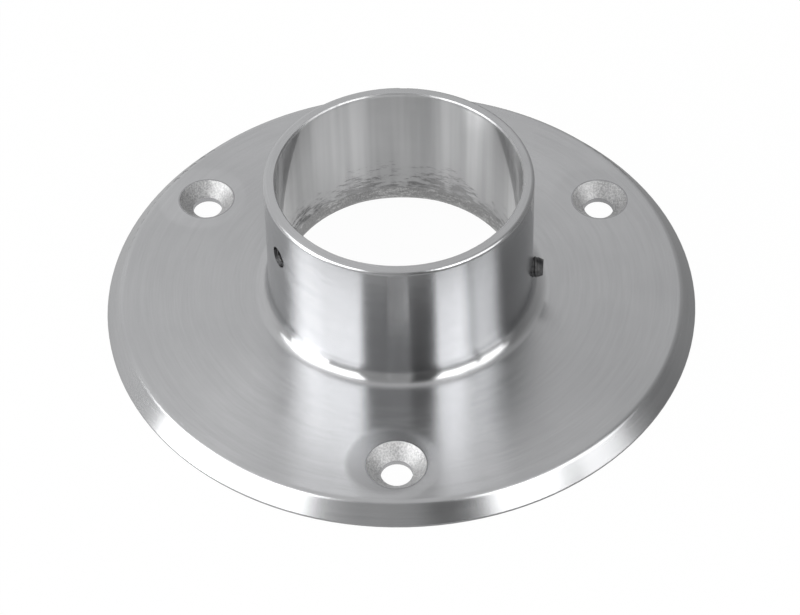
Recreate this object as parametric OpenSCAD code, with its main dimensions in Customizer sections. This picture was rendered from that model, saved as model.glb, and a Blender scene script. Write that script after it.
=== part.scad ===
// Round base flange with an upright collar that a round tube drops into.
// Three countersunk screws hold it to the floor, and two set screws in the
// collar clamp the tube. The collar and the base plate are one casting.
// Origin at the centre of the underside, +Z up along the bore.

/* [Base plate] */
// Diameter of the base plate
base_d = 127; // [112:1:160]
// Thickness of the base plate
base_t = 4; // [3.6:0.1:6]
// Width of the bevel around the base plate, seen from above
bevel_w = 3.1; // [2:0.1:4]
// Height of the upright band below the bevel
land_h = 0.5; // [0.4:0.1:1.5]
// Radius that blends the bevel into the top face
bevel_round_r = 1.6; // [0.4:0.1:1.7]

/* [Collar] */
// Height of the rim above the floor
collar_h = 35; // [30:0.5:60]
// Thickness of the collar's wall at the rim
rim_wall = 2.4; // [2:0.1:4]
// Thickness that the tapered wall would have where it meets the base plate
foot_wall = 2.9; // [2.4:0.1:5]
// Radius of the hollow fillet between the collar and the base plate
foot_fillet_r = 3.2; // [1:0.1:4]
// Radius of the rounded outer edge of the rim
rim_round_r = 0.8; // [0.3:0.1:1]
// Width of the broken inner edge of the rim
rim_break = 0.25; // [0.1:0.05:0.5]

/* [Tube socket] */
// Outside diameter of the tube that the socket takes
tube_d = 50.8; // [38:0.1:62]
// Gap all round between the tube and the machined bore
tube_gap = 0.1; // [0.05:0.05:0.3]
// How far the bore narrows below the tube, all round
throat_step = 0.4; // [0.3:0.1:1.5]
// Height over which the bore narrows, which is left as cast and stops the tube
throat_h = 2; // [0.5:0.1:4]
// Height of the narrow part of the bore
throat_land = 0.6; // [0.2:0.1:3]
// Width and height of the bevel around the opening in the underside
mouth_bevel = 4.9; // [1:0.1:8]

/* [Floor screw holes] */
// Number of floor screw holes
screw_count = 3; // [3:1:4]
// Distance from the centre of a hole to the edge of the base plate
screw_edge = 12.7; // [11:0.1:20]
// Diameter of each floor screw hole
screw_hole_d = 6.5; // [5:0.1:9]
// Diameter of each countersink at the top face
sink_d = 12.1; // [10:0.1:13]
// Angle between the sides of a countersink
sink_angle = 90; // [82:1:100]

/* [Set screws] */
// Diameter of a set screw at the middle of its thread
set_screw_d = 4.5; // [3:0.1:5]
// Gap all round between a set screw and its tapped hole
set_screw_gap = 0.05; // [0.02:0.01:0.1]
// Size of the hexagon socket across its flats
socket_af = 2.5; // [1.5:0.1:2.5]
// Depth of the hexagon socket
socket_depth = 1.2; // [0.6:0.1:1.4]
// Width of the broken edge around the outer end of a set screw
set_screw_break = 0.3; // [0.1:0.05:0.4]
// Distance that the inner end of a set screw stays back from the wall of the bore
set_screw_setback = 0.1; // [0.05:0.05:0.3]
// Distance from the rim down to the middle of the upper set screw
upper_screw_drop = 10; // [5:0.2:14]
// Direction of the upper set screw, counted from +X
upper_screw_angle = -151; // [-180:1:-100]
// Depth of the upper set screw's outer end below the face of the collar
upper_screw_sink = 0.5; // [0.2:0.1:0.7]
// Distance from the base plate up to the middle of the lower set screw
lower_screw_rise = 6.4; // [6:0.1:14]
// Direction of the lower set screw, counted from +X
lower_screw_angle = -4; // [-30:1:30]
// Distance that the lower set screw stands out of the face of the collar
lower_screw_out = 2.2; // [0:0.1:4]

/* [Hidden] */
$fn = 96;
over = 1;

base_r = base_d / 2;
bore_r = tube_d / 2 + tube_gap;
throat_r = bore_r - throat_step;
bore_end_h = mouth_bevel + throat_land + throat_h;
screw_circle_r = base_r - screw_edge;
upper_screw_h = collar_h - upper_screw_drop;
lower_screw_h = base_t + lower_screw_rise;

// Bevel around the base plate, blended into the top face
bevel_slope = atan2(base_t - land_h, bevel_w);
blend_r = min(bevel_round_r, 0.45 * base_t);
blend_at = [base_r - bevel_w - blend_r * tan(bevel_slope / 2), base_t - blend_r];

// Tapered outer wall of the collar
wall_lean = atan2(foot_wall - rim_wall, collar_h - base_t);
function wall_r(z) = bore_r + foot_wall - (z - base_t) * tan(wall_lean);
fillet_at = [wall_r(base_t + foot_fillet_r) + foot_fillet_r / cos(wall_lean), base_t + foot_fillet_r];
rim_at = [wall_r(collar_h - rim_round_r) - rim_round_r / cos(wall_lean), collar_h - rim_round_r];

// Point where a circle of radius r at c touches the outer wall from the side given by way
function wall_touch(c, r, way) = c + way * r * [cos(wall_lean), sin(wall_lean)];

tapped_d = set_screw_d + 2 * set_screw_gap;
sink_h = (sink_d - screw_hole_d) / 2 / tan(sink_angle / 2);

// Half of the casting's section, cut through its axis
module casting_section() {
    difference() {
        union() {
            polygon([
                [throat_r + mouth_bevel, 0],
                [base_r, 0],
                [base_r, land_h],
                blend_at + blend_r * [sin(bevel_slope), cos(bevel_slope)],
                [blend_at[0], base_t],
                [fillet_at[0], base_t],
                wall_touch(fillet_at, foot_fillet_r, -1),
                wall_touch(rim_at, rim_round_r, 1),
                [rim_at[0], collar_h],
                [bore_r + rim_break, collar_h],
                [bore_r, collar_h - rim_break],
                [bore_r, bore_end_h],
                [throat_r, bore_end_h - throat_h],
                [throat_r, mouth_bevel]
            ]);
            translate(blend_at) circle(r = blend_r);
            translate(rim_at) circle(r = rim_round_r);
        }
        translate(fillet_at) circle(r = foot_fillet_r);
    }
}

// Clearance hole and countersink, with the top face at z = 0
module floor_screw_hole() {
    translate([0, 0, -base_t - over]) cylinder(d = screw_hole_d, h = base_t + 2 * over);
    translate([0, 0, -sink_h])
        cylinder(d1 = screw_hole_d, d2 = sink_d + 2 * over * tan(sink_angle / 2), h = sink_h + over);
}

// Moves its children to the wall of the bore, with +Z pointing out of the collar
module on_bore_wall(height, angle) {
    rotate([0, 0, angle]) translate([bore_r, 0, height]) rotate([0, 90, 0]) children();
}

module tapped_hole(height, angle) {
    on_bore_wall(height, angle)
        translate([0, 0, -over]) cylinder(d = tapped_d, h = foot_wall + foot_fillet_r + 2 * over);
}

// Headless screw with a hexagon socket in its outer end, which stands out of the collar's face
module set_screw(height, angle, out) {
    length = wall_r(height) + out - bore_r - set_screw_setback;
    on_bore_wall(height, angle)
        translate([0, 0, set_screw_setback])
            difference() {
                rotate_extrude()
                    polygon([
                        [0, 0],
                        [set_screw_d / 2, 0],
                        [set_screw_d / 2, length - set_screw_break],
                        [set_screw_d / 2 - set_screw_break, length],
                        [0, length]
                    ]);
                translate([0, 0, length - socket_depth])
                    cylinder(d = socket_af / cos(30), h = socket_depth + over, $fn = 6);
            }
}

module flange_casting() {
    color([0.74, 0.75, 0.76])
        difference() {
            rotate_extrude() casting_section();
            for (i = [0:screw_count - 1])
                rotate([0, 0, -90 + i * 360 / screw_count])
                    translate([screw_circle_r, 0, base_t]) floor_screw_hole();
            tapped_hole(upper_screw_h, upper_screw_angle);
            tapped_hole(lower_screw_h, lower_screw_angle);
        }
}

module upper_set_screw() {
    color([0.45, 0.46, 0.47]) set_screw(upper_screw_h, upper_screw_angle, -upper_screw_sink);
}

module lower_set_screw() {
    color([0.45, 0.46, 0.47]) set_screw(lower_screw_h, lower_screw_angle, lower_screw_out);
}

flange_casting();
upper_set_screw();
lower_set_screw();
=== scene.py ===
import math
import bmesh
import bpy
from mathutils import Matrix, Vector


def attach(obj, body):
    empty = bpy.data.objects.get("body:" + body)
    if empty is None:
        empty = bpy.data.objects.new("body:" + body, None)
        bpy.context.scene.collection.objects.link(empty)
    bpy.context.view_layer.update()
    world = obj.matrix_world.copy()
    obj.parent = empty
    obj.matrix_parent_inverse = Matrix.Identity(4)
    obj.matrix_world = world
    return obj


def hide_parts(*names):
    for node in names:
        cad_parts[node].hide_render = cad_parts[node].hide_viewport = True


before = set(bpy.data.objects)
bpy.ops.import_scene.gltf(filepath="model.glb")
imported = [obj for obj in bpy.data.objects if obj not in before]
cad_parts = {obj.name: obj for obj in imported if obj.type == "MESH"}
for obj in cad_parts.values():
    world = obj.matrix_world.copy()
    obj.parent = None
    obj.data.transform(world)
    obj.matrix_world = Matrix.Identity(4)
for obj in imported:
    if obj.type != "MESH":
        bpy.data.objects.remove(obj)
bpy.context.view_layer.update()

MM = 0.001

# Sizes of the casting, in millimetres and degrees, as in the CAD model
BASE_R = 63.5
BASE_T = 4.0
BEVEL_W = 3.1
LAND_H = 0.5
BEVEL_ROUND_R = 1.6
COLLAR_H = 35.0
BORE_R = 25.5
BORE_END_H = 7.5
MOUTH_R = 30.0
RIM_WALL = 2.4
FOOT_WALL = 2.9
FOOT_FILLET_R = 3.2
RIM_ROUND_R = 0.8
SCREW_CIRCLE_R = 50.8
SINK_R = 6.05
SINK_END_H = 1.2
SCREW_HOLE_COUNT = 3
FIRST_HOLE_ANGLE = -90.0


def wall_r(height):
    """Radius of the tapered collar's face at a height, in millimetres."""
    share = (height - BASE_T) / (COLLAR_H - BASE_T)
    return BORE_R + FOOT_WALL + (RIM_WALL - FOOT_WALL) * share


# Turned section, in millimetres and radians
WALL_LEAN = math.atan2(FOOT_WALL - RIM_WALL, COLLAR_H - BASE_T)
BEVEL_SLOPE = math.atan2(BASE_T - LAND_H, BEVEL_W)
BLEND_AT = BASE_R - BEVEL_W - BEVEL_ROUND_R * math.tan(BEVEL_SLOPE / 2)
FILLET_AT = wall_r(BASE_T + FOOT_FILLET_R) + FOOT_FILLET_R / math.cos(WALL_LEAN)
RIM_AT = wall_r(COLLAR_H - RIM_ROUND_R) - RIM_ROUND_R / math.cos(WALL_LEAN)

# Distance between the end of a round's reach and a face beside it, in millimetres
REACH_ROOM = 1.0

# Rounds of that section: middle, own radius (negative where hollow), and reach in radius and in height
ROUNDS = (
    (BLEND_AT, BASE_T - BEVEL_ROUND_R, BEVEL_ROUND_R,
     BLEND_AT, BLEND_AT + BEVEL_ROUND_R * math.sin(BEVEL_SLOPE), REACH_ROOM, BASE_T + REACH_ROOM),
    (FILLET_AT, BASE_T + FOOT_FILLET_R, -FOOT_FILLET_R,
     BORE_R + REACH_ROOM, FILLET_AT, BASE_T - REACH_ROOM, BASE_T + FOOT_FILLET_R),
    (RIM_AT, COLLAR_H - RIM_ROUND_R, RIM_ROUND_R,
     RIM_AT, BASE_R, COLLAR_H - RIM_ROUND_R, COLLAR_H + REACH_ROOM),
)

# Camera, in degrees and millimetres
CAMERA_ELEVATION = 46.485
CAMERA_DISTANCE = 462.8
CAMERA_TURN = 1.8
CAMERA_YAW = -0.035
CAMERA_PITCH = -0.377
CAMERA_ROLL = -1.185
CAMERA_LENS = 95.9
CAMERA_SENSOR = 36.0


def swing(first, second, angle):
    """Turns a pair of square directions in their own plane."""
    cos, sin = math.cos(angle), math.sin(angle)
    return first * cos + second * sin, second * cos - first * sin


def add_camera():
    """Stands in front of the part and looks down at it, as the photographer did."""
    angles = (CAMERA_ELEVATION, CAMERA_YAW, CAMERA_PITCH, CAMERA_ROLL)
    elevation, yaw, pitch, roll = map(math.radians, angles)
    place = Vector((0, -math.cos(elevation), math.sin(elevation))) * CAMERA_DISTANCE * MM
    ahead = -place.normalized()
    right = Vector((1, 0, 0))
    up = right.cross(ahead)
    ahead, right = swing(ahead, right, yaw)
    ahead, up = swing(ahead, up, pitch)
    right, up = swing(right, up, roll)
    pose = Matrix((right, up, -ahead)).transposed().to_4x4()
    pose.translation = place
    data = bpy.data.cameras.new("camera")
    data.sensor_width = CAMERA_SENSOR
    data.lens = CAMERA_LENS
    data.clip_start = 0.01
    data.clip_end = 50
    camera = bpy.data.objects.new("camera", data)
    bpy.context.scene.collection.objects.link(camera)
    camera.matrix_world = Matrix.Rotation(math.radians(CAMERA_TURN), 4, "Z") @ pose
    bpy.context.scene.camera = camera


class Nodes:
    """A short way to write node trees."""

    def __init__(self, tree):
        self.tree = tree
        tree.nodes.clear()

    def add(self, kind, settings=None, **inputs):
        node = self.tree.nodes.new(kind)
        for name, value in (settings or {}).items():
            setattr(node, name, value)
        for name, value in inputs.items():
            self.put(node.inputs[name.replace("_", " ")], value)
        return node

    def put(self, socket, value):
        if isinstance(value, bpy.types.NodeSocket):
            self.tree.links.new(value, socket)
        else:
            socket.default_value = value

    def put_all(self, sockets, values):
        for socket, value in zip(sockets, values):
            self.put(socket, value)

    def math(self, operation, *values):
        node = self.add("ShaderNodeMath", {"operation": operation})
        self.put_all(node.inputs, values)
        return node.outputs[0]

    def plus(self, first, second):
        return self.math("ADD", first, second)

    def minus(self, first, second):
        return self.math("SUBTRACT", first, second)

    def times(self, first, second):
        return self.math("MULTIPLY", first, second)

    def over(self, first, second):
        return self.math("DIVIDE", first, second)

    def either(self, first, second):
        """The larger of two masks."""
        return self.math("MAXIMUM", first, second)

    def without(self, mask):
        """1 where the mask is 0, and 0 where it is 1."""
        return self.minus(1.0, mask)

    def above(self, value, low):
        """1 where value is more than low, and 0 elsewhere."""
        return self.math("GREATER_THAN", value, low)

    def between(self, value, low, high):
        """1 where value lies between low and high, and 0 elsewhere."""
        return self.times(self.above(value, low), self.math("LESS_THAN", value, high))

    def radius(self, x, y):
        return self.math("SQRT", self.plus(self.times(x, x), self.times(y, y)))

    def vector(self, operation, *values):
        node = self.add("ShaderNodeVectorMath", {"operation": operation})
        self.put_all(node.inputs, values)
        return node.outputs["Value" if operation == "DISTANCE" else "Vector"]

    def ramp(self, value, low, high, to_low=0.0, to_high=1.0, smooth=True):
        """Maps value from low..high to to_low..to_high, and holds it at the ends."""
        node = self.add("ShaderNodeMapRange", {"interpolation_type": "SMOOTHSTEP" if smooth else "LINEAR"})
        names = ("Value", "From Min", "From Max", "To Min", "To Max")
        self.put_all([node.inputs[name] for name in names], (value, low, high, to_low, to_high))
        return node.outputs["Result"]

    def noise(self, place, detail, roughness, scale=1.0):
        node = self.add("ShaderNodeTexNoise", Vector=place, Scale=scale, Detail=detail, Roughness=roughness)
        return node.outputs[0]

    def seeded_noise(self, place, seed, detail, roughness, scale=1.0):
        """Noise in four dimensions, with the seed as the fourth."""
        node = self.add("ShaderNodeTexNoise", {"noise_dimensions": "4D"}, Vector=place, W=seed, Scale=scale,
                        Detail=detail, Roughness=roughness)
        return node.outputs[0]

    def mix(self, factor, first, second):
        node = self.add("ShaderNodeMix", {"data_type": "FLOAT"})
        self.put_all((node.inputs[0], node.inputs[2], node.inputs[3]), (factor, first, second))
        return node.outputs[0]

    def mix_vector(self, factor, first, second):
        node = self.add("ShaderNodeMix", {"data_type": "VECTOR"})
        self.put_all((node.inputs[0], node.inputs[4], node.inputs[5]), (factor, first, second))
        return node.outputs[1]

    def mix_colour(self, factor, first, second):
        node = self.add("ShaderNodeMix", {"data_type": "RGBA"})
        self.put_all((node.inputs[0], node.inputs[6], node.inputs[7]), (factor, first, second))
        return node.outputs[2]

    def mix_shader(self, factor, first, second):
        node = self.add("ShaderNodeMixShader", Fac=factor)
        self.put_all((node.inputs[1], node.inputs[2]), (first, second))
        return node.outputs[0]

    def split(self, vector):
        return self.add("ShaderNodeSeparateXYZ", Vector=vector).outputs

    def join(self, x, y, z):
        return self.add("ShaderNodeCombineXYZ", X=x, Y=y, Z=z).outputs[0]


VECTOR, FLOAT = "NodeSocketVector", "NodeSocketFloat"


def new_group(name, inputs, outputs):
    """An empty node group with named sockets. Returns its tree, its Nodes and its input sockets."""
    tree = bpy.data.node_groups.new(name, "ShaderNodeTree")
    for label, kind, value in inputs:
        socket = tree.interface.new_socket(label, in_out="INPUT", socket_type=kind)
        if value is not None:
            socket.default_value = value
    for label, kind in outputs:
        tree.interface.new_socket(label, in_out="OUTPUT", socket_type=kind)
    nodes = Nodes(tree)
    return tree, nodes, nodes.add("NodeGroupInput").outputs


def finish_group(nodes, **outputs):
    """Links the values to the group's outputs of the same names."""
    end = nodes.add("NodeGroupOutput")
    for name, value in outputs.items():
        nodes.put(end.inputs[name], value)


# Spans of noise that become 0 to 1
LINE_SPAN = (0.3, 0.7)
STREAK_SPAN = (0.32, 0.68)
CLOUD_SPAN = (0.3, 0.7)
SPECK_SPAN = (0.35, 0.65)

# How dense the specks are, with the clouds as 1
SPECK_DENSITY = 40.0

# How dense the streaks are outward, upward and around, with the lines as 1
STREAK_DENSITY = (0.12, 0.12, 0.6)


def make_turned_grain():
    """Fine lines that run round the Z axis, such as a lathe and a brush leave."""
    tree, n, given = new_group("turned_grain", [
        ("Position", VECTOR, None), ("Line width", FLOAT, 0.0002), ("Breaks per turn", FLOAT, 30.0),
        ("Seed", FLOAT, 0.0)],
        [("Height", FLOAT), ("Lines", FLOAT), ("Streaks", FLOAT)])
    x, y, z = n.split(given["Position"])
    turn = n.math("ARCTAN2", y, x)
    around = n.times(given["Breaks per turn"], 1 / math.tau)
    across = n.over(1.0, given["Line width"])
    place = n.join(n.times(n.radius(x, y), across), n.times(z, across),
                   n.times(n.math("COSINE", turn), around))
    shift = n.plus(n.times(n.math("SINE", turn), around), given["Seed"])
    fine = n.seeded_noise(place, shift, detail=2.0, roughness=0.6)
    wide_place = n.vector("MULTIPLY", place, STREAK_DENSITY)
    wide = n.seeded_noise(wide_place, n.times(shift, STREAK_DENSITY[2]), detail=3.0, roughness=0.55)
    finish_group(n, Height=fine, Lines=n.ramp(fine, *LINE_SPAN), Streaks=n.ramp(wide, *STREAK_SPAN))
    return tree


def make_handling_marks():
    """Slow, cloudy changes, such as handling and polishing leave, and fine specks."""
    tree, n, given = new_group("handling_marks", [
        ("Position", VECTOR, None), ("Size", FLOAT, 0.02), ("Seed", FLOAT, 0.0)],
        [("Cloud", FLOAT), ("Specks", FLOAT)])
    scaled = n.add("ShaderNodeVectorMath", {"operation": "SCALE"})
    n.put(scaled.inputs[0], given["Position"])
    n.put(scaled.inputs["Scale"], n.over(1.0, given["Size"]))
    place = scaled.outputs[0]
    cloud = n.seeded_noise(place, given["Seed"], detail=4.0, roughness=0.55)
    specks = n.seeded_noise(place, given["Seed"], detail=2.0, roughness=0.6, scale=SPECK_DENSITY)
    finish_group(n, Cloud=n.ramp(cloud, *CLOUD_SPAN), Specks=n.ramp(specks, *SPECK_SPAN))
    return tree


def make_true_rounds():
    """The exact normal on the turned rounds, where the mesh has only a few flat steps across them."""
    tree, n, given = new_group("true_rounds", [("Position", VECTOR, None)], [("Normal", VECTOR)])
    x, y, z = n.split(given["Position"])
    radius = n.radius(x, y)
    normal = n.add("ShaderNodeNewGeometry").outputs["Normal"]
    to_world = {"vector_type": "NORMAL", "convert_from": "OBJECT", "convert_to": "WORLD"}
    for middle_r, middle_z, round_r, from_r, to_r, from_z, to_z in ROUNDS:
        outward = n.over(n.minus(radius, middle_r * MM), round_r * MM)
        upward = n.over(n.minus(z, middle_z * MM), round_r * MM)
        share = n.over(outward, radius)
        way = n.vector("NORMALIZE", n.join(n.times(x, share), n.times(y, share), upward))
        turned = n.add("ShaderNodeVectorTransform", to_world, Vector=way).outputs[0]
        reach = n.times(n.between(radius, from_r * MM, to_r * MM), n.between(z, from_z * MM, to_z * MM))
        normal = n.mix_vector(reach, normal, turned)
    finish_group(n, Normal=n.vector("NORMALIZE", normal))
    return tree


TURNED_GRAIN = make_turned_grain()
TRUE_ROUNDS = make_true_rounds()
HANDLING_MARKS = make_handling_marks()


def new_material(name):
    material = bpy.data.materials.new(name)
    material.use_nodes = True
    return material, Nodes(material.node_tree)


def use_group(n, tree, **inputs):
    return n.add("ShaderNodeGroup", {"node_tree": tree}, **inputs).outputs


# Satin steel: sizes, places and depths in millimetres
GRAIN_WIDTH = 0.15
GRAIN_DEPTH = 0.02
PIT_DEPTH = 0.07
CLOUD_SIZE = 18.0
WAVE_SIZE = 9.0
SAND_SIZE = 16.0
BORE_FADE = (0.3, 0.2)
THROAT_FADE = (0.5, -0.2)
MOUTH_FADE = (0.5, 0.3)
BORE_MARK_SIZE = (2.4, 2.4, 0.6)
BORE_MARKS_TOP = 18.5
# Painted reflection: sizes of the tall streaks in the bore's colour, which stand in for soft reflections
# down its wall
BORE_PAINTED_STREAK_SIZE = (4.0, 4.0, 90.0)
# Painted shade: the bore's colour darkens from the first height down to the second, in millimetres
BORE_PAINTED_SHADE_FROM, BORE_PAINTED_SHADE_TO = 24.0, 8.0
SINK_FADE = 0.02
SINK_END_FADE = 0.03
SINK_LINE_R = SINK_R + 0.12
SINK_LINE_FADE = (0.22, 0.08)
PATCH_OFFSET = (-1.0, 0.3, 0.0)
PATCH_FADE = (10.2, 8.4)
PATCH_WAVE = 1.0
# Painted reflection: a darker spot round the front screw hole, in front of the collar, standing in for its
# dark reflection
DARK_REFLECTION_SPOT = (-2.0, -50.0, 0.0)
DARK_REFLECTION_FADE = (9.0, 7.2)
BEVEL_FROM_H = 0.3
PLATE_FROM_R = FILLET_AT - 1.5

# Satin steel: how much noise makes a dark mark, at the bore's lower end and at the top of the marks
BORE_MARK_NOISE = (0.39, 0.75)

# Satin steel: how far the waves shift that, and over which span of noise a mark fades in
BORE_MARK_WAVE = 0.16
BORE_MARK_FADE = (-0.04, 0.14)

# Satin steel: strengths and shares
GRAIN_BREAKS = 34.0
GRAIN_STRENGTH = 0.09
PIT_STRENGTH = 0.45
BORE_MARK_HEIGHT = -0.6
LINES_IN_TONE = 0.5
CLOUD_IN_TONE = 0.4
# Painted shade: how far the bore's colour darkens at its lower end
BORE_PAINTED_SHADE_SHARE = 0.35
BORE_MARK_SHARE = 0.65
SINK_LINE_SHARE = 0.45

# Satin steel: colours, where a pair goes from dark to pale
BRUSHED = ((0.493, 0.497, 0.506, 1), (0.567, 0.571, 0.580, 1))
SANDY = ((0.40, 0.40, 0.405, 1), (0.65, 0.65, 0.65, 1))
AS_CAST = ((0.32, 0.32, 0.32, 1), (0.54, 0.54, 0.54, 1))
# Bore colour, partly its own darker tone and partly painted reflection in tall streaks down the wall
BORE_TONE_AND_PAINTED_STREAKS = ((0.363, 0.366, 0.372, 1), (0.512, 0.515, 0.521, 1))
# Painted shade: the colour the bore darkens to towards its lower end
BORE_PAINTED_SHADE = (0.28, 0.28, 0.28, 1)
BORE_MARK = (0.22, 0.22, 0.22, 1)
SINK_LINE = (0.22, 0.22, 0.23, 1)
# Painted reflection: the darker colour of the spot in front of the collar
PAINTED_DARK_REFLECTION = (0.42, 0.423, 0.43, 1)

# Satin steel: roughness
BRUSHED_ROUGHNESS = (0.16, 0.18)
PATCH_ROUGHNESS = 0.268
SANDY_ROUGHNESS = (0.38, 0.5)

# Satin steel: what these places add to the roughness
CLOUD_ADDS = 0.02
BORE_ADDS = 0.17
RUBBED_ADDS = 0.08
PLATE_ADDS = 0.055
SINK_ADDS = 0.14

# Satin steel: how much of the gloss's stretch is lost
RUBBED_STRETCH_LOSS = 0.4
PLATE_STRETCH_LOSS = 0.05


def sized_place(n, position, sizes):
    """The position in steps of these sizes in millimetres, for noise that is as large as they are."""
    return n.vector("MULTIPLY", position, tuple(1 / (size * MM) for size in sizes))


def fade(n, value, at, offsets):
    """Rises from 0 to 1 between two offsets from a place. All three are in millimetres."""
    return n.ramp(value, (at + offsets[0]) * MM, (at + offsets[1]) * MM)


def bore_masks(n, position, radius, z, waves):
    """The whole bore, the dark marks that streak it towards the bottom, and where it is left as cast."""
    in_bore = fade(n, radius, BORE_R, BORE_FADE)
    streaky = n.noise(sized_place(n, position, BORE_MARK_SIZE), detail=5.0, roughness=0.68)
    enough = n.plus(n.ramp(z, BORE_END_H * MM, BORE_MARKS_TOP * MM, *BORE_MARK_NOISE, smooth=False),
                    n.times(n.minus(0.5, waves), BORE_MARK_WAVE))
    marked = n.times(in_bore, n.ramp(n.minus(streaky, enough), *BORE_MARK_FADE))
    in_throat = n.times(in_bore, fade(n, z, BORE_END_H, THROAT_FADE))
    in_mouth = fade(n, n.plus(radius, z), MOUTH_R, MOUTH_FADE)
    return in_bore, marked, n.either(in_throat, in_mouth)


def nearest_hole(n, flat, offset):
    """Distance to the nearest floor screw hole, or to a point beside it."""
    nearest = None
    for k in range(SCREW_HOLE_COUNT):
        turn = math.radians(FIRST_HOLE_ANGLE + k * 360 / SCREW_HOLE_COUNT)
        centre = Vector((math.cos(turn), math.sin(turn), 0.0)) * SCREW_CIRCLE_R + Vector(offset)
        distance = n.vector("DISTANCE", flat, centre * MM)
        nearest = distance if nearest is None else n.math("MINIMUM", nearest, distance)
    return nearest


def screw_hole_masks(n, x, y, z, waves):
    """Countersinks, their dark edges, the patches round them, wavy and plainly round, and the spot of
    painted dark reflection.
    """
    flat = n.join(x, y, 0.0)
    on_top = n.above(z, BASE_T / 2 * MM)
    to_hole = nearest_hole(n, flat, (0.0, 0.0, 0.0))
    in_sink = n.times(fade(n, to_hole, SINK_R, (SINK_FADE, -SINK_FADE)),
                      fade(n, z, SINK_END_H, (-SINK_END_FADE, SINK_END_FADE)))
    sink_line = fade(n, n.math("ABSOLUTE", n.minus(to_hole, SINK_LINE_R * MM)), 0.0, SINK_LINE_FADE)
    to_patch = nearest_hole(n, flat, PATCH_OFFSET)
    wavy = n.plus(to_patch, n.times(n.minus(waves, 0.5), PATCH_WAVE * MM))
    round_patch, wavy_patch = (n.times(on_top, fade(n, distance, 0.0, PATCH_FADE))
                               for distance in (to_patch, wavy))
    to_dark_reflection = n.vector("DISTANCE", flat, Vector(DARK_REFLECTION_SPOT) * MM)
    in_dark_reflection = n.times(on_top, fade(n, to_dark_reflection, 0.0, DARK_REFLECTION_FADE))
    return in_sink, n.times(on_top, sink_line), wavy_patch, round_patch, in_dark_reflection


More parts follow.
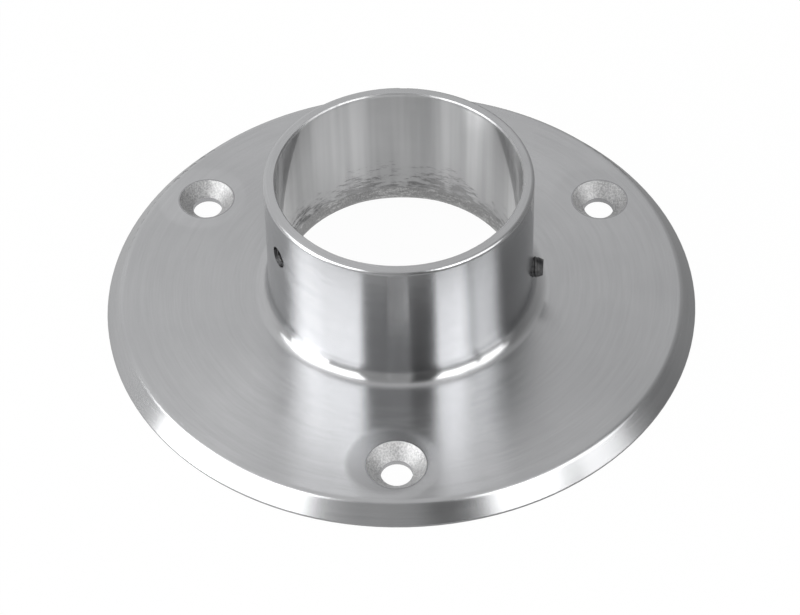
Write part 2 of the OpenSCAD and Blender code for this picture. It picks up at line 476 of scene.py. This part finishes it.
def satin_steel():
    """Stainless steel, brushed in circles round the axis, with rough places where no tool reached."""
    material, n = new_material("satin_steel")
    position = n.add("ShaderNodeTexCoord").outputs["Object"]
    x, y, z = n.split(position)
    radius = n.radius(x, y)

    grain = use_group(n, TURNED_GRAIN, Position=position, Line_width=GRAIN_WIDTH * MM,
                      Breaks_per_turn=GRAIN_BREAKS, Seed=3.0)
    cloud = use_group(n, HANDLING_MARKS, Position=position, Size=CLOUD_SIZE * MM, Seed=1.0)["Cloud"]
    waves = use_group(n, HANDLING_MARKS, Position=position, Size=WAVE_SIZE * MM, Seed=7.0)["Cloud"]
    sand = use_group(n, HANDLING_MARKS, Position=position, Size=SAND_SIZE * MM, Seed=5.0)["Specks"]

    # Places with a look of their own
    in_bore, marked, as_cast = bore_masks(n, position, radius, z, waves)
    in_sink, sink_line, wavy_patch, round_patch, in_dark_reflection = screw_hole_masks(n, x, y, z, waves)
    on_bevel = n.times(n.above(radius, BLEND_AT * MM), n.above(z, BEVEL_FROM_H * MM))
    on_rim = n.above(z, (COLLAR_H - RIM_ROUND_R) * MM)
    on_plate = n.between(radius, PLATE_FROM_R * MM, BLEND_AT * MM)
    rubbed = n.either(on_bevel, on_rim)
    rough = n.either(as_cast, in_sink)
    rough_or_marked = n.either(rough, marked)

    # Colour
    tone = n.mix(CLOUD_IN_TONE, n.mix(LINES_IN_TONE, grain["Streaks"], grain["Lines"]), cloud)
    # The bore's own darker tone, with tall streaks of painted reflection running down the wall
    streaks = n.noise(sized_place(n, position, BORE_PAINTED_STREAK_SIZE), detail=2.5, roughness=0.5)
    bore_tone_and_painted_light = n.mix_colour(n.ramp(streaks, *LINE_SPAN), *BORE_TONE_AND_PAINTED_STREAKS)
    # Painted shade: the bore's colour darkens towards its lower end
    painted_shade_in_bore = n.ramp(z, BORE_PAINTED_SHADE_FROM * MM, BORE_PAINTED_SHADE_TO * MM, 0.0, BORE_PAINTED_SHADE_SHARE)
    bore_tone_and_painted_light = n.mix_colour(painted_shade_in_bore, bore_tone_and_painted_light, BORE_PAINTED_SHADE)
    # Painted reflection: the plate's colour darkens round the front screw hole, in front of the collar
    colour = n.mix_colour(in_dark_reflection, n.mix_colour(tone, *BRUSHED), PAINTED_DARK_REFLECTION)
    colour = n.mix_colour(in_bore, colour, bore_tone_and_painted_light)
    colour = n.mix_colour(as_cast, colour, n.mix_colour(sand, *AS_CAST))
    colour = n.mix_colour(n.times(marked, BORE_MARK_SHARE), colour, BORE_MARK)
    colour = n.mix_colour(in_sink, colour, n.mix_colour(sand, *SANDY))
    colour = n.mix_colour(n.times(sink_line, SINK_LINE_SHARE), colour, SINK_LINE)

    # Gloss, stretched across the grain
    roughness = n.mix(grain["Streaks"], *BRUSHED_ROUGHNESS)
    for place, added in ((cloud, CLOUD_ADDS), (in_bore, BORE_ADDS), (rubbed, RUBBED_ADDS),
                         (on_plate, PLATE_ADDS)):
        roughness = n.plus(roughness, n.times(place, added))
    roughness = n.mix(wavy_patch, roughness, PATCH_ROUGHNESS)
    roughness = n.mix(rough_or_marked, roughness, n.mix(sand, *SANDY_ROUGHNESS))
    roughness = n.plus(roughness, n.times(in_sink, SINK_ADDS))
    stretch = n.without(n.either(rough, round_patch))
    for place, loss in ((rubbed, RUBBED_STRETCH_LOSS), (on_plate, PLATE_STRETCH_LOSS)):
        stretch = n.times(stretch, n.without(n.times(place, loss)))
    tangent = n.add("ShaderNodeTangent", {"direction_type": "RADIAL", "axis": "Z"}).outputs[0]
    polish = n.times(in_bore, n.without(rough_or_marked))

    # Relief
    rounded = use_group(n, TRUE_ROUNDS, Position=position)["Normal"]
    lines = n.add("ShaderNodeBump", Strength=GRAIN_STRENGTH, Distance=GRAIN_DEPTH * MM,
                  Height=grain["Height"], Normal=rounded).outputs[0]
    pitted = n.plus(n.times(sand, rough), n.times(marked, BORE_MARK_HEIGHT))
    pits = n.add("ShaderNodeBump", Strength=PIT_STRENGTH, Distance=PIT_DEPTH * MM, Height=pitted,
                 Normal=lines).outputs[0]

    shader = n.add("ShaderNodeBsdfPrincipled", Base_Color=colour, Metallic=1.0, Roughness=roughness,
                   Anisotropic=stretch, Anisotropic_Rotation=0.25, Tangent=tangent,
                   Coat_Weight=polish, Coat_Roughness=0.05, Coat_IOR=1.6, Normal=pits)
    n.add("ShaderNodeOutputMaterial", Surface=shader.outputs[0])
    return material


# Dark screw steel: size and depth in millimetres, and pairs of colours and roughnesses
PATINA_SIZE = 2.0
PATINA_DEPTH = 0.03
PATINA_STRENGTH = 0.6
BLACKENED = ((0.025, 0.026, 0.028, 1), (0.14, 0.14, 0.14, 1))
BLACKENED_ROUGHNESS = (0.32, 0.55)


def dark_screw_steel():
    """Blackened steel with an oily gloss and paler patches."""
    material, n = new_material("dark_screw_steel")
    position = n.add("ShaderNodeTexCoord").outputs["Object"]
    marks = use_group(n, HANDLING_MARKS, Position=position, Size=PATINA_SIZE * MM, Seed=4.0)
    colour = n.mix_colour(marks["Cloud"], *BLACKENED)
    roughness = n.mix(marks["Specks"], *BLACKENED_ROUGHNESS)
    bump = n.add("ShaderNodeBump", Strength=PATINA_STRENGTH, Distance=PATINA_DEPTH * MM,
                 Height=marks["Specks"])
    shader = n.add("ShaderNodeBsdfPrincipled", Base_Color=colour, Metallic=1.0, Roughness=roughness,
                   Normal=bump.outputs[0])
    n.add("ShaderNodeOutputMaterial", Surface=shader.outputs[0])
    return material


def ring_of(bm, points):
    """New points of a mesh, for a band of faces."""
    return [bm.verts.new(p) for p in points]


def bridge(bm, rings):
    """Joins each ring to the next with a band of faces."""
    for first, second in zip(rings, rings[1:]):
        for k in range(len(first)):
            bm.faces.new((first[k], first[k - 1], second[k - 1], second[k]))


def finish_mesh(bm, name, material):
    """Makes the faces smooth and puts them into the scene as an object."""
    for face in bm.faces:
        face.smooth = True
    mesh = bpy.data.meshes.new(name)
    bm.to_mesh(mesh)
    bm.free()
    mesh.materials.append(material)
    made = bpy.data.objects.new(name, mesh)
    bpy.context.scene.collection.objects.link(made)
    return made


# Thread, in millimetres, with the widths of its flats and flanks as shares of the pitch
THREAD_CREST_R = 2.28
THREAD_ROOT_R = 2.05
THREAD_PITCH = 0.79
THREAD_FLAT = 0.16
THREAD_FLANK = 0.34

# Set screws, in millimetres and degrees
SCREW_SIDES = 48
RINGS_PER_PITCH = 10
SCREW_SETBACK = 0.1
END_R = 1.66
END_FACE_R = 1.56
END_ROUND_LENGTH = 2.0
END_ROUND_SHARE = 0.6
END_ROUND_POWER = 1.6
SOCKET_AF = 2.5
SOCKET_DEPTH = 1.2
SOCKET_BREAK = 0.08
DRILL_R = 0.9
DRILL_TIP = 0.3
SHARP_EDGE_ANGLE = 35.0
UPPER_SCREW = {"height": 25.0, "angle": -151.0, "out": -0.5}
LOWER_SCREW = {"height": 10.4, "angle": -4.0, "out": 2.2}


def thread_r(s, turn):
    """Radius of the thread at a distance along the screw and a turn round it."""
    phase = (s / THREAD_PITCH - turn / math.tau) % 1.0
    fall = min(max((abs(phase - 0.5) - THREAD_FLAT / 2) / THREAD_FLANK, 0.0), 1.0)
    return THREAD_CREST_R - (THREAD_CREST_R - THREAD_ROOT_R) * fall


def hexagon_r(turn, across_flats):
    """Radius of a hexagon at a turn round it."""
    sixth = math.radians(60)
    return across_flats / 2 / math.cos((turn % sixth) - sixth / 2)


def set_screw(name, height, angle, out, material):
    """A headless screw with a helical thread and a hexagon socket, in place in the collar's wall."""
    length = wall_r(height) + out - BORE_R - SCREW_SETBACK
    round_length = min(END_ROUND_LENGTH, END_ROUND_SHARE * length)
    turns = [math.tau * k / SCREW_SIDES for k in range(SCREW_SIDES)]
    bm = bmesh.new()

    def level(s, radius):
        return ring_of(bm, [(radius(t) * math.cos(t), radius(t) * math.sin(t), s) for t in turns])

    def threaded(s):
        """The thread, cut back to a bevel at the inner end and a round at the outer end."""
        rounding = min(max((s - (length - round_length)) / round_length, 0.0), 1.0)
        room = min(END_R + s, END_R + (THREAD_CREST_R - END_R) * (1 - rounding ** END_ROUND_POWER))
        return level(s, lambda t: min(thread_r(s, t), room))

    count = round(length / THREAD_PITCH * RINGS_PER_PITCH)
    rings = [level(0.0, lambda t: END_R / 2), level(0.0, lambda t: END_FACE_R)]
    rings += [threaded(length * k / count) for k in range(count + 1)]
    rings.append(level(length, lambda t: hexagon_r(t, SOCKET_AF + 2 * SOCKET_BREAK)))
    rings.append(level(length - SOCKET_BREAK, lambda t: hexagon_r(t, SOCKET_AF)))
    rings.append(level(length - SOCKET_DEPTH, lambda t: hexagon_r(t, SOCKET_AF)))
    rings.append(level(length - SOCKET_DEPTH, lambda t: DRILL_R))
    bridge(bm, rings)
    bm.faces.new(rings[0])
    tip = bm.verts.new((0, 0, length - SOCKET_DEPTH - DRILL_TIP))
    for k in range(SCREW_SIDES):
        bm.faces.new((rings[-1][k], rings[-1][k - 1], tip))
    bmesh.ops.recalc_face_normals(bm, faces=bm.faces)
    place = (Matrix.Rotation(math.radians(angle), 4, "Z") @ Matrix.Translation((BORE_R, 0, height))
             @ Matrix.Rotation(math.radians(90), 4, "Y") @ Matrix.Translation((0, 0, SCREW_SETBACK)))
    bm.transform(Matrix.Scale(MM, 4) @ place)
    piece = finish_mesh(bm, name, material)
    piece.data.set_sharp_from_angle(angle=math.radians(SHARP_EDGE_ANGLE))
    return piece


# Floor, in metres
FLOOR_RADII = (0.2, 1.0)
FLOOR_SIDES = 128
FLOOR_PAINT = (0.8, 0.8, 0.8, 1)
FLOOR_GLOW_SHARE = 0.97

# How bright the metal sees the floor, in the bore and to the part's left and right, with places in metres
GLOW_IN_BORE = 0.95
BORE_GLOW_R, BORE_GLOW_END_R = 0.035, 0.06
GLOW_AT_LEFT, GLOW_AT_RIGHT = 0.8, 0.32
LEFT_X, RIGHT_X = -0.15, 0.08


def floor_paint():
    """White to the camera and mostly a glow to the metal, and a plain pale paint to all other light."""
    material, n = new_material("studio_floor")
    path = n.add("ShaderNodeLightPath").outputs
    x, y, _ = n.split(n.add("ShaderNodeTexCoord").outputs["Object"])
    around_part = n.mix(n.ramp(x, LEFT_X, RIGHT_X), GLOW_AT_LEFT, GLOW_AT_RIGHT)
    in_metal = n.mix(n.ramp(n.radius(x, y), BORE_GLOW_R, BORE_GLOW_END_R), GLOW_IN_BORE, around_part)
    brightness = n.mix(path["Is Camera Ray"], in_metal, 1.0)
    glow = n.add("ShaderNodeEmission", Color=(1, 1, 1, 1), Strength=brightness).outputs[0]
    paint = n.add("ShaderNodeBsdfDiffuse", Color=FLOOR_PAINT).outputs[0]
    mirrored = n.either(path["Is Glossy Ray"], path["Is Transmission Ray"])
    seen = n.times(n.either(path["Is Camera Ray"], mirrored), FLOOR_GLOW_SHARE)
    from_below = n.add("ShaderNodeNewGeometry").outputs["Backfacing"]
    clear = n.add("ShaderNodeBsdfTransparent").outputs[0]
    surface = n.mix_shader(from_below, n.mix_shader(seen, paint, glow), clear)
    n.add("ShaderNodeOutputMaterial", Surface=surface)
    return material


def studio_floor():
    """A round pale floor that can be looked through from below."""
    bm = bmesh.new()
    turns = [math.tau * k / FLOOR_SIDES for k in range(FLOOR_SIDES)]
    rings = [ring_of(bm, [(r * math.cos(t), r * math.sin(t), 0.0) for t in turns]) for r in FLOOR_RADII]
    bridge(bm, rings)
    bm.faces.new(rings[0])
    finish_mesh(bm, "studio_floor", floor_paint())


# Lamps and walls, in degrees and metres, with azimuths from the camera's side and positive to its right
LAMP_TOP = 58.0
LAMP_DISTANCE = 1.1

# How bright the walls are at these azimuths
STUDIO_WALLS = (
    (-180, 0.74), (-173, 0.80), (-150, 0.80), (-112, 0.74), (-100, 0.60), (-32, 0.43), (-12, 0.38),
    (-10, 0.52), (-8.5, 0.42), (3, 0.42), (4.5, 0.52), (6, 0.36), (9, 0.09), (24, 0.09), (28, 0.40),
    (84, 0.40), (92, 0.22), (110, 0.29), (150, 0.48), (165, 0.62), (180, 0.72))

# How bright the ceiling is, and how steeply upward a direction is where it takes over from the walls
CEILING = 0.7
CEILING_FROM, CEILING_FULL = 0.86, 0.97


def toward(azimuth):
    """Level direction from the part."""
    turn = math.radians(azimuth + CAMERA_TURN)
    return Vector((math.sin(turn), -math.cos(turn), 0.0))


def soft_box(name, from_azimuth, to_azimuth, radiance, from_elevation, to_elevation=LAMP_TOP,
             distance=LAMP_DISTANCE):
    """An upright flat lamp that fills these directions as seen from the part."""
    half = math.radians(to_azimuth - from_azimuth) / 2
    foot, top = (distance * math.tan(math.radians(e)) for e in (from_elevation, to_elevation))
    data = bpy.data.lights.new(name, "AREA")
    data.shape = "RECTANGLE"
    data.size = 2 * distance * math.tan(half)
    data.size_y = top - foot
    data.energy = radiance * data.size * data.size_y * math.pi
    lamp = bpy.data.objects.new(name, data)
    bpy.context.scene.collection.objects.link(lamp)
    ahead = toward((from_azimuth + to_azimuth) / 2)
    lamp.location = ahead * distance + Vector((0, 0, (foot + top) / 2))
    lamp.rotation_euler = ahead.to_track_quat("Z", "Y").to_euler()
    lamp.visible_camera = False


def studio_lamps():
    soft_box("soft_box_left", -87, -62, 3.1, from_elevation=3)
    soft_box("soft_box_left_front", -62, -33, 3.7, from_elevation=24)
    soft_box("soft_box_left_upper", -104, -87, 3.3, from_elevation=30)
    soft_box("soft_box_left_low", -79, -54, 6.0, from_elevation=3, to_elevation=12, distance=1.0)
    soft_box("soft_box_right_front", 29, 45, 3.6, from_elevation=25)
    soft_box("soft_box_right", 45, 57, 4.1, from_elevation=24)
    soft_box("soft_box_right_rear", 60, 79, 2.1, from_elevation=15)
    soft_box("soft_box_right_rear_upper", 79, 88, 2.1, from_elevation=30)


def studio_walls():
    """Walls and a ceiling that light the part, behind a background that is white to the camera."""
    world = bpy.data.worlds.new("studio")
    bpy.context.scene.world = world
    world.use_nodes = True
    n = Nodes(world.node_tree)
    way = n.add("ShaderNodeTexCoord").outputs["Generated"]
    x, y, z = n.split(n.vector("NORMALIZE", way))
    turn = math.radians(CAMERA_TURN)
    right = n.plus(n.times(x, math.cos(turn)), n.times(y, math.sin(turn)))
    front = n.minus(n.times(x, math.sin(turn)), n.times(y, math.cos(turn)))
    azimuth = n.times(n.math("ARCTAN2", right, front), math.degrees(1))
    walls = n.add("ShaderNodeValToRGB", Fac=n.ramp(azimuth, -180, 180, smooth=False))
    stops = walls.color_ramp.elements
    for k, (place, level) in enumerate(STUDIO_WALLS):
        stop = stops[k] if k < 2 else stops.new(1.0)
        stop.position = (place + 180) / 360
        stop.color = (level, level, level, 1)
    brightness = n.mix(n.ramp(z, CEILING_FROM, CEILING_FULL), walls.outputs[0], CEILING)
    seen = n.add("ShaderNodeLightPath").outputs["Is Camera Ray"]
    studio = n.add("ShaderNodeBackground", Color=(1, 1, 1, 1), Strength=n.mix(seen, brightness, 1.0))
    n.add("ShaderNodeOutputWorld", Surface=studio.outputs[0])


add_camera()
studio_floor()
studio_lamps()
studio_walls()

steel = satin_steel()
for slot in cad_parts["flange_casting"].material_slots:
    slot.material = steel

blackened = dark_screw_steel()
for node, placing in (("upper_set_screw", UPPER_SCREW), ("lower_set_screw", LOWER_SCREW)):
    piece = set_screw(node + "_threaded", material=blackened, **placing)
    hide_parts(node)
    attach(piece, "root")

bpy.context.scene.view_settings.view_transform = "Standard"
